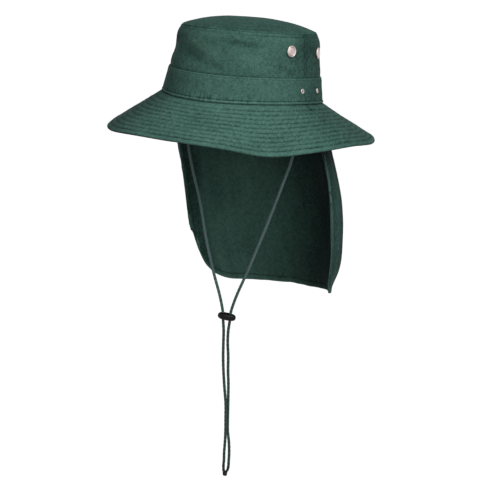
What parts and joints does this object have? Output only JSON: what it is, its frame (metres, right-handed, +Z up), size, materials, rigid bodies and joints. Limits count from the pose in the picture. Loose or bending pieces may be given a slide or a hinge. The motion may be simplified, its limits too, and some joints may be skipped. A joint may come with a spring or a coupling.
{
  "type": "wide brim hat",
  "caption": "Soft fabric wide brim sun hat with a domed crown, band, side vents and press studs, a hanging neck flap and a chin cord with a sliding stopper.",
  "frame": {"origin": "middle of the head opening, in the plane of the brim seam, where the hat sits on the head", "axes": "+Z straight up along the wearer's head, front of the hat along -Y, the wearer's left along +X; the hat itself is tipped 4.3 degrees back and 3.9 degrees down on the wearer's left, as worn"},
  "size_m": [0.2968, 0.3312, 0.5483],
  "materials": {
    "cloth": "dark grey-green woven cloth, matt",
    "stud_metal": "satin nickel",
    "eyelet_metal": "satin nickel, as the press studs",
    "cord": "twisted cord, matt",
    "stopper_plastic": "glossy black",
    "cord_end": "melted cord end, dark"
  },
  "bodies": {
    "root": {"crown_tip": "cloth", "crown_front": "cloth", "crown_back": "cloth", "hat_band": "cloth", "brim_front": "cloth", "brim_back": "cloth", "neck_flap": "cloth", "press_stud_left_front": "stud_metal", "press_stud_left_back": "stud_metal", "press_stud_right_front": "stud_metal", "press_stud_right_back": "stud_metal", "eyelet_left_front": "eyelet_metal", "eyelet_left_back": "eyelet_metal", "eyelet_right_front": "eyelet_metal", "eyelet_right_back": "eyelet_metal", "chin_cord_left": "cord", "chin_cord_right": "cord", "cord_stopper": "stopper_plastic", "cord_knot": "cord_end"}
  },
  "joints": []
}
